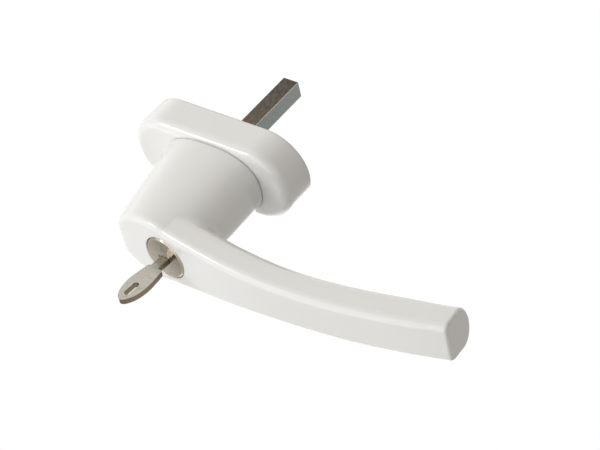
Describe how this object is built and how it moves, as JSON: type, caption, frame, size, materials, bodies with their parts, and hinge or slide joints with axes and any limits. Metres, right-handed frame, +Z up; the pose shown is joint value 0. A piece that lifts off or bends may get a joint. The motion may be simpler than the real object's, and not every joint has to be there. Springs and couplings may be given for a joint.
{
  "type": "locking window handle",
  "caption": "Key-locking tilt-and-turn window handle with an oval rosette, cranked neck, bowed grip, square spindle, click stop and a key-driven locking bolt.",
  "frame": {"origin": "centre of the rosette's back face, on the spindle's axis", "axes": "+Y along the spindle into the window, -Y to the room, +Z up with the closed grip hanging towards -Z, +X to the side"},
  "size_m": [0.0332, 0.1262, 0.1726],
  "materials": {
    "white_coat": "gloss white powder coat",
    "die_cast": "as cast, satin",
    "zinc_steel": "bright zinc plated",
    "spring_steel": "plain rolled",
    "nickel": "polished nickel",
    "brass": "turned",
    "bearing_plastic": "moulded acetal"
  },
  "bodies": {
    "rosette": {"rosette_cover": "white_coat", "rosette_base": "die_cast", "back_plate": "zinc_steel", "plate_rivets": "zinc_steel", "bearing_bush": "bearing_plastic", "detent_springs": "spring_steel"},
    "handle": {"handle_body": "white_coat", "square_spindle": "zinc_steel", "spindle_clamp_spring": "spring_steel", "detent_cam": "zinc_steel", "retaining_circlip": "spring_steel", "lock_housing": "brass", "lock_retaining_pin": "zinc_steel", "bolt_guide": "bearing_plastic"},
    "lock_cylinder": {"lock_face": "nickel", "lock_plug": "brass", "plug_clip": "spring_steel", "wafer_springs": "spring_steel"},
    "wafer_set": {"wafers": "brass"},
    "bolt": {"locking_bolt": "zinc_steel", "bolt_drive_pin": "zinc_steel"},
    "key": {"key": "nickel"}
  },
  "joints": [
    {"name": "handle_turn", "type": "hinge", "parent": "rosette", "child": "handle", "pos_m": [0, 0, 0], "axis": [0, 1, 0], "range_deg": [0, 180], "deforming": ["detent_springs"]},
    {"name": "key_turn", "type": "hinge", "parent": "handle", "child": "lock_cylinder", "pos_m": [0, -0.0611, -0.0142], "axis": [0, 0.9954, -0.0958], "range_deg": [0, 90]},
    {"name": "bolt_throw", "type": "slide", "parent": "handle", "child": "bolt", "axis": [0, 0.9954, -0.0958], "range_m": [0, 0.005]},
    {"name": "key_pull", "type": "slide", "parent": "lock_cylinder", "child": "key", "axis": [0, -0.9954, 0.0958], "range_m": [0, 0.024]},
    {"name": "wafer_drop", "type": "slide", "parent": "lock_cylinder", "child": "wafer_set", "axis": [0, 0.0958, 0.9954], "range_m": [0, 0.0007]}
  ],
  "couplings": [
    {"joint": "key_turn", "follows": "bolt_throw", "rad_per_m": 314.16},
    {"joint": "wafer_drop", "follows": "key_pull", "ratio": 0.029167}
  ]
}
